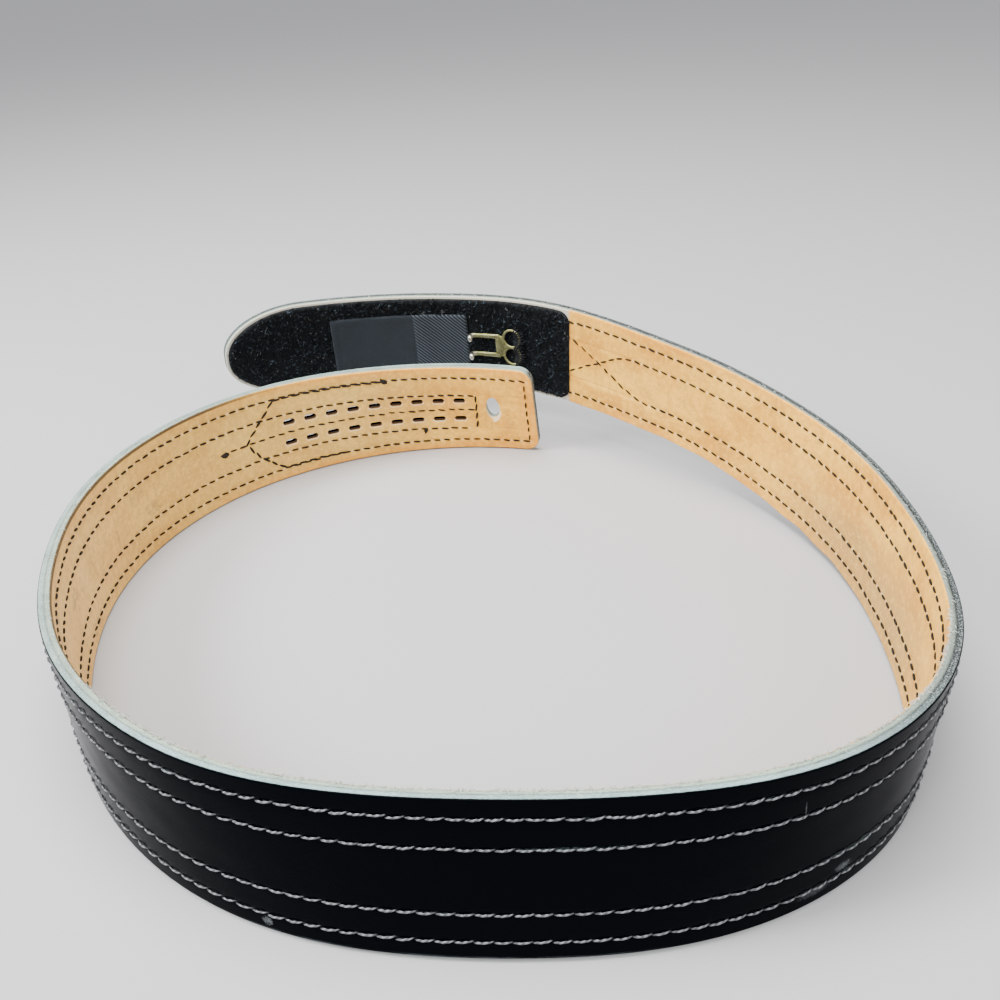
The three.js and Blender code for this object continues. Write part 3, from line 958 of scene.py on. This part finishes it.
def pile_ground():
    """The fabric under the pile: lumpy, and rolled over at its edge."""
    corner = PANEL_START + PANEL_CORNER * (1 - np.cos(np.linspace(0, math.pi / 2, 9)))
    tip = PANEL_END - (TIP_RUN - PANEL_MARGIN) * (1 - np.cos(np.linspace(0, math.pi / 2, 40)))
    straight = np.arange(PANEL_START + PANEL_CORNER + 1, PANEL_END - TIP_RUN, 1.0)
    along = np.sort(np.concatenate([corner, straight, tip]))
    edge = [1, 0.995, 0.985, 0.965, 0.93]
    across = np.array(sorted([-e for e in edge] + list(np.linspace(-0.89, 0.89, 50)) + edge))
    levels = (0.02, -PILE_BASE)
    sheet = flat_sheet("pile_ground", along, across, WIDTH / 2, panel_half, levels)
    p = points(sheet) / MM
    inset = inset_in_panel(p[:, 0], p[:, 2])
    face = p[:, 1] > 1
    lumps = 0.12 * ripple(p[:, 0], p[:, 2], 2.4, 51) + 0.1 * ripple(p[:, 0], p[:, 2], 5.5, 52)
    rolled = 1.0 * np.clip(1 - inset / 1.6, 0, 1) ** 2
    p[:, 1] += np.where(face, lumps - rolled, 0)
    set_points(sheet, p * MM)
    return sheet


def turns_about(angles, leans, sizes):
    """Turns about the panel's normal, then leans over: one matrix for each."""
    c, s, forward, over = np.cos(angles), np.sin(angles), np.cos(leans), np.sin(leans)
    zero, one = np.zeros(len(angles)), np.ones(len(angles))
    spin = np.array([[c, zero, -s], [zero, one, zero], [s, zero, c]]).transpose(2, 0, 1)
    lean = np.array([[one, zero, zero], [zero, forward, -over], [zero, over, forward]])
    lean = lean.transpose(2, 0, 1)
    return spin @ lean * sizes[:, None, None]


def pile_places(rng, count, inside):
    """Random places on the panel beside the patch, at least so far inside its edge."""
    along = rng.uniform(PANEL_START, PANEL_END, count * 2)
    up = rng.uniform(0, WIDTH, count * 2)
    keep = (inset_in_panel(along, up) > inside) & ~under_patch(along, up)
    return along[keep][:count], up[keep][:count]


def under_patch(along, up):
    near = (along > PATCH_RIGHT + 1) & (along < PATCH_LEFT - 1)
    return near & (up > PATCH_LOW + 1) & (up < PATCH_HIGH - 1.5)


def pile(name, seed):
    """Loops of yarn over the ground, most of them dark and a few painted paler as a painted
    highlight.
    """
    rng = np.random.default_rng(seed)
    shape, faces = curl(1.25, 0.95, 0.26, 1.2, 3, 5)
    shape[:, 1] *= -1
    along, up = pile_places(rng, 4300, 0.1)
    n = len(along)
    turns = turns_about(
        rng.uniform(0, 2 * np.pi, n), rng.normal(0, 0.6, n), rng.uniform(0.75, 1.35, n))
    level = -(PILE_BASE - 0.15) * np.clip(0.35 + inset_in_panel(along, up) / 2, 0, 1)
    origins = np.stack([along, level, up], 1)
    return repeat(name, shape, faces, turns, origins, rng.uniform(0, 1, n) ** 1.5)


def pile_finish(name):
    w, shade, material = finish(name, Specular_IOR_Level=0.2, Roughness=0.6)
    place = flat_place(w)[0]
    drift = w.noise(place, 0.12, 3)
    # Painted highlight: some of the loops, chosen by their tone, are painted pale blue-grey
    painted_highlight = w.kept("tone").step(0.66, 1.0) * (0.2 + drift.step(0.34, 0.66))
    link(shade, Base_Color=w.mix(painted_highlight, (0.0006, 0.0016, 0.0028), (0.065, 0.09, 0.115)),
         Normal=bump(w, w.noise(place, 4, 3), 0.5))
    return material


ground = pile_ground()
lay(ground, pile_finish("pile_ground"), 60)
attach(ground, "root")
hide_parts("loop_panel")

for number in (1, 2):
    name = "pile_loops_%d" % number
    loops = pile(name, 60 + number)
    lay(loops, pile_finish(name), 80)
    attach(loops, "root")

# Lint and stray hairs caught in the pile: short pale flecks, most of them towards the rounded
# end, and longer grey hairs along the upper edge and over the patch's corner.

# Tufts of hairs: distance from the tip, height and how many
HAIRS = ((62, 50, 7), (96, 51, 4), (120, 45.5, 20), (140, 48, 6), (30, 42, 5), (185, 51, 5))


def lint():
    rng = np.random.default_rng(71)
    shape, faces = curl(1.1, 0.35, 0.1, 1.0, 3, 4)
    shape[:, 1] *= -1
    along, up = pile_places(rng, 460, 1.0)
    keep = rng.uniform(0, 1, len(along)) < 0.25 + 0.75 * (along > LENGTH - 75)
    along, up = along[keep], up[keep]
    n = len(along)
    turns = [turns_about(
        rng.uniform(0, 2 * np.pi, n), rng.normal(0, 0.5, n), rng.uniform(0.35, 1.25, n))]
    origins = [np.stack([along, np.full(n, -PILE_BASE - 0.95), up], 1)]
    for from_tip, height, count in HAIRS:
        along = rng.normal(LENGTH - from_tip, 4, count)
        up = rng.normal(height, 1.6, count)
        hairs = turns_about(rng.normal(1.4, 0.5, count), rng.normal(0.1, 0.3, count),
                            rng.uniform(1.2, 3.0, count))
        turns.append(hairs * (1, 0.5, 0.35))
        origins.append(np.stack([along, np.full(count, -PILE_BASE - 0.9), up], 1))
    turns, origins = np.concatenate(turns), np.concatenate(origins)
    return repeat("pile_lint", shape, faces, turns, origins, rng.uniform(0, 1, len(turns)))


def lint_finish():
    w, shade, material = finish("lint", Roughness=0.7)
    link(shade, Base_Color=w.mix(w.kept("tone"), (0.06, 0.065, 0.07), (0.34, 0.35, 0.35)))
    return material


specks = lint()
lay(specks, lint_finish(), 80)
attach(specks, "root")

# The woven patch. A piece of dark slate ribbon sewn over the pile, its left half smooth, its
# right half a coarser twill, with a seam where they meet and its edges turned under.


def patch_sheet():
    middle, half = (PATCH_LOW + PATCH_HIGH) / 2, (PATCH_HIGH - PATCH_LOW) / 2
    edge = np.array([0, 0.15, 0.4, 0.8, 1.4])
    inner = np.arange(PATCH_RIGHT + 2, PATCH_LEFT - 2, 0.8)
    along = np.sort(np.concatenate([PATCH_RIGHT + edge, inner, PATCH_LEFT - edge]))
    inner = np.linspace(-0.9, 0.9, 36)
    across = np.sort(np.concatenate([-1 + edge / half, inner, 1 - edge / half]))
    sheet = flat_sheet("slate_patch", along, across, middle, lambda s: np.full(len(s), half),
                       (-1.3, -1.9, -2.5))
    p = points(sheet) / MM
    side = np.minimum(p[:, 0] - PATCH_RIGHT, PATCH_LEFT - p[:, 0])
    inset = np.minimum(side, half - np.abs(p[:, 2] - middle))
    face = p[:, 1] > 2.2
    hem = 0.22 * np.clip(1 - np.abs(inset - 2.4) / 2.2, 0, 1)
    fold = -0.5 * np.clip(1 - inset / 0.9, 0, 1) ** 2
    seam = -0.2 * np.exp(-((p[:, 0] - PATCH_SEAM) / 0.7) ** 2)
    step = 0.22 * np.clip((PATCH_SEAM - p[:, 0]) / 0.8, 0, 1)
    sag = 0.16 * ripple(p[:, 0], p[:, 2], 17, 81)
    p[:, 1] += np.where(face, hem + fold + seam + step + sag, 0)
    taper = 1.2 * (p[:, 0] - PATCH_RIGHT) / (PATCH_LEFT - PATCH_RIGHT)
    p[:, 2] -= taper * (p[:, 2] - middle) / half
    p[:, 0] += np.where(inset < 0.05, 0.12 * ripple(p[:, 0], p[:, 2], 4, 82), 0)
    set_points(sheet, p * MM)
    return sheet


def weave_finish():
    w, shade, material = finish("slate_weave", Specular_IOR_Level=0.2, Sheen_Weight=0.1)
    place, along, _, up = flat_place(w)
    right = along.step(PATCH_SEAM + 0.5, PATCH_SEAM - 0.5)
    wobble = w.noise(place, 0.6, 3) * 1.1
    slant = along * -0.62 + up * 0.78
    twill = (slant * (2 * math.pi / 1.7) + wobble).math("SINE")
    warp = (along * (2 * math.pi / 0.42)).math("SINE")
    weft = (up * (2 * math.pi / 0.36)).math("SINE")
    plain = warp * weft
    ridge = twill * 0.5 + 0.5
    fade = w.noise(place, 0.09, 3)
    coarse = w.mix(ridge * ridge * (0.4 + fade), (0.003, 0.0045, 0.007), (0.055, 0.07, 0.088))
    crossing = (plain * 0.5 + 0.5) * 0.5 + fade * 0.4
    smooth = w.mix(crossing, (0.0055, 0.009, 0.0125), (0.0135, 0.0195, 0.026))
    speck = w.noise(place, 2.2, 3).step(0.64, 0.72)
    cloth = w.mix(speck * 0.35, w.mix(right, smooth, coarse), (0.12, 0.13, 0.15))
    height = right * ridge * 1.6 + (1 - right) * plain * 0.5 + w.noise(place, 2, 3) * 0.6
    link(shade, Base_Color=cloth, Roughness=0.62 + 0.2 * fade,
         Normal=bump(w, height, 0.5))
    return material


patch = patch_sheet()
lay(patch, weave_finish(), 60)
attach(patch, "root")
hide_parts("woven_patch")

# The brass double hook. One casting: a waisted plate with two round eyes, sewn down through
# them, and two prongs that lie along the panel and curl up at their ends. The brass has aged
# green in its hollows and is bright where it rubs; its raised parts are painted bright as a
# painted highlight.

# Where its eyes' middle lies (mm), how far out, and how far its eyes and prongs are off it
HOOK_AT, HOOK_UP = LENGTH - 181, WIDTH / 2
HOOK_SEAT = -2.95
EYE_APART, EYE_RADIUS, EYE_WIRE = 5.45, 5.3, 0.8
PRONG_APART = 5.9

# A prong from its root to its tip: place, how far out of the seat, width, depth
PRONG = ((8, 0, 3.4, 1.7), (11, 0, 3.0, 1.6), (14, 0.1, 2.8, 1.7), (17, 0.1, 3.1, 1.9),
         (20, 0, 2.7, 1.7), (23, 0, 2.8, 1.8), (25.2, 0.5, 3.1, 2.0), (26.3, 1.7, 3.4, 2.2),
         (26.4, 3.2, 3.8, 2.6), (25.8, 4.6, 4.3, 3.1), (24.8, 5.6, 4.2, 3.0),
         (24.2, 6.0, 2.6, 1.8))

# The plate, from the eyes to the prongs, and the web between the eyes: the same values
PLATE = ((4.2, 0, 3.2, 1.3), (5.2, 0, 9.6, 1.5), (6.5, 0, 13.2, 1.6), (8, 0, 14.2, 1.7),
         (9.6, 0, 15.4, 1.6), (10.6, 0, 15.0, 1.2))
WEB = ((-4.4, 0, 3.6, 1.0), (-2.5, 0, 1.9, 1.1), (0, 0, 1.3, 1.2), (2.5, 0, 1.9, 1.3),
       (4.8, 0, 4.0, 1.4))


def hook_bar(stops, up):
    """A flattened bar at one height, through stops as in the tables above."""
    ring, _ = ready_shape(bpy.ops.mesh.primitive_circle_add, vertices=14, radius=0.5)
    route = np.array([(HOOK_AT + x, HOOK_SEAT - rise, up) for x, rise, _, _ in stops])
    ahead = np.gradient(route, axis=0)
    ahead /= np.linalg.norm(ahead, axis=1)[:, None]
    side = np.array([0, 0, 1.0])
    shape = [at + ring[:, 1:2] * width * side + ring[:, :1] * depth * np.cross(side, on)
             for at, on, (_, _, width, depth) in zip(route, ahead, stops)]
    return new_mesh("bar", np.concatenate(shape), ring_faces(len(ring), len(stops)))


def cast_hook():
    """Eyes, prongs, plate and web, melted into one casting and eased."""
    parts = []
    for side in (-1, 1):
        free_selection()
        bpy.ops.mesh.primitive_torus_add(
            major_segments=48, minor_segments=14, major_radius=EYE_RADIUS * MM,
            minor_radius=EYE_WIRE * MM)
        eye = bpy.context.object
        place = np.array([HOOK_AT, -HOOK_SEAT, HOOK_UP + side * EYE_APART]) * MM
        set_points(eye, points(eye)[:, [0, 2, 1]] * (1, -0.85, 1) + place)
        parts += [eye, hook_bar(PRONG, HOOK_UP + side * PRONG_APART)]
    parts += [hook_bar(PLATE, HOOK_UP), hook_bar(WEB, HOOK_UP)]
    hook = join(parts)
    hook.name = hook.data.name = "brass_hook"
    modify(hook, "REMESH", mode="VOXEL", voxel_size=0.26 * MM)
    modify(hook, "SMOOTH", factor=0.5, iterations=8)
    return hook


def brass_finish():
    w, shade, material = finish("brass", Metallic=1)
    place, _, out, _ = flat_place(w)
    broad = w.noise(place, 0.35, 4)
    pitted = w.noise(place, 2.2, 5, 0.65)
    # Painted highlight on the raised parts, the prongs' arms and tips, with rubbed spots of wear
    # added to it
    raised_highlight = (out * -1).step(3.3, 5.8)
    rubbed = raised_highlight.math("MAXIMUM", w.noise(place, 0.8, 4).step(0.56, 0.7) * 0.8)
    aged = w.mix(broad.step(0.35, 0.65), (0.20, 0.19, 0.06), (0.33, 0.33, 0.13))
    green = w.mix(pitted.step(0.52, 0.7) * 0.7, aged, (0.12, 0.13, 0.05))
    link(shade, Base_Color=w.mix(rubbed, green, (0.82, 0.81, 0.74)),
         Roughness=0.36 + 0.3 * pitted - 0.2 * rubbed,
         Normal=bump(w, pitted + broad, 0.25))
    return material


hook = cast_hook()
lay(hook, brass_finish(), 60)
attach(hook, "root")
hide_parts("adjusting_hook")

# The hook's sewing: short bars of black thread over the right half of both eyes, through the
# panel and both plies. They are all that holds the hook, and have gone fluffy with wear.
BAR_ANGLES = (-68, -54, -41, -28, -15, -3, 10, 22, 35, 47, 60)


def hook_sewing():
    rng = np.random.default_rng(91)
    shape, faces = curl(6.4, 1.4, 0.95, 1.0, 5, 8)
    shape[:, 1] = -shape[:, 1] - 2.1
    turns, origins = [], []
    for side in (-1, 1):
        for angle in np.radians(BAR_ANGLES):
            turn = np.array([angle + rng.normal(0, 0.08)])
            stretch = np.diag([rng.uniform(0.85, 1.1), 1, 1])
            turns.append(turns_about(turn, np.zeros(1), np.ones(1))[0] @ stretch)
            origins.append([HOOK_AT - EYE_RADIUS * math.cos(angle), rng.normal(0, 0.08),
                            HOOK_UP + side * EYE_APART - EYE_RADIUS * math.sin(angle)])
    return repeat("hook_sewing", shape, faces, np.array(turns), np.array(origins))


bars = hook_sewing()
black = thread_finish("black_thread", (0.0008, 0.001, 0.0016), (0.007, 0.008, 0.011), 0.7)
lay(bars, black, 60)
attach(bars, "root")

# The ground and the light: a plain pale floor, even daylight from behind, a large soft light
# overhead, a softer one from the left and a weak one from the right. The belt's way has done
# its work and is taken out.
bpy.data.objects.remove(way)


def soft_light(name, place, target, size, watts):
    lamp = bpy.data.lights.new(name, "AREA")
    lamp.shape = "DISK"
    lamp.size = size
    lamp.energy = watts
    light = put(name, lamp)
    light.location = place
    x, y, z = [p - t for p, t in zip(place, target)]
    light.rotation_euler = (math.atan2(math.hypot(x, y), z), 0, math.atan2(y, x) + math.pi / 2)


soft_light("top_light", (-0.15, 0.1, 1.3), (0, 0, 0), 1.0, 34)
soft_light("key_light", (-1.0, -0.2, 0.85), (0, 0, 0.03), 0.5, 26)
soft_light("right_light", (0.9, -0.7, 0.8), (0, 0, 0.03), 0.8, 9)

daylight = bpy.data.lights.new("daylight", "SUN")
daylight.energy = 2.6
daylight.angle = math.radians(50)
put("daylight", daylight).rotation_euler = (math.radians(42), 0, math.radians(-15))

free_selection()
bpy.ops.mesh.primitive_circle_add(
    vertices=128, radius=15, fill_type="NGON", location=(0, 0, -0.5 * MM))
floor = bpy.context.object
floor.name = floor.data.name = "floor"
_, _, matt = finish("floor", Base_Color=(0.42, 0.42, 0.425, 1), Roughness=0.8)
floor.data.materials.append(matt)

world = bpy.data.worlds.new("studio")
world.use_nodes = True
surround = world.node_tree.nodes["Background"]
surround.inputs["Color"].default_value = (0.8, 0.82, 0.85, 1)
surround.inputs["Strength"].default_value = 0.5
bpy.context.scene.world = world

# The camera stands where the photograph was taken from, with its picture shifted a little
lens = bpy.data.cameras.new("camera")
lens.sensor_width = 36
lens.lens = 37.70
lens.shift_y = 0.0696
lens.clip_start = 0.01
camera = put("camera", lens)
camera.location = (0.008928, -0.415707, 0.27636)
camera.rotation_mode = "XYZ"
pitch, roll = math.radians(90 - 32.72), -0.0483
turn = Matrix.Rotation(pitch, 4, "X") @ Matrix.Rotation(roll, 4, "Z")
camera.rotation_euler = turn.to_euler()
bpy.context.scene.camera = camera
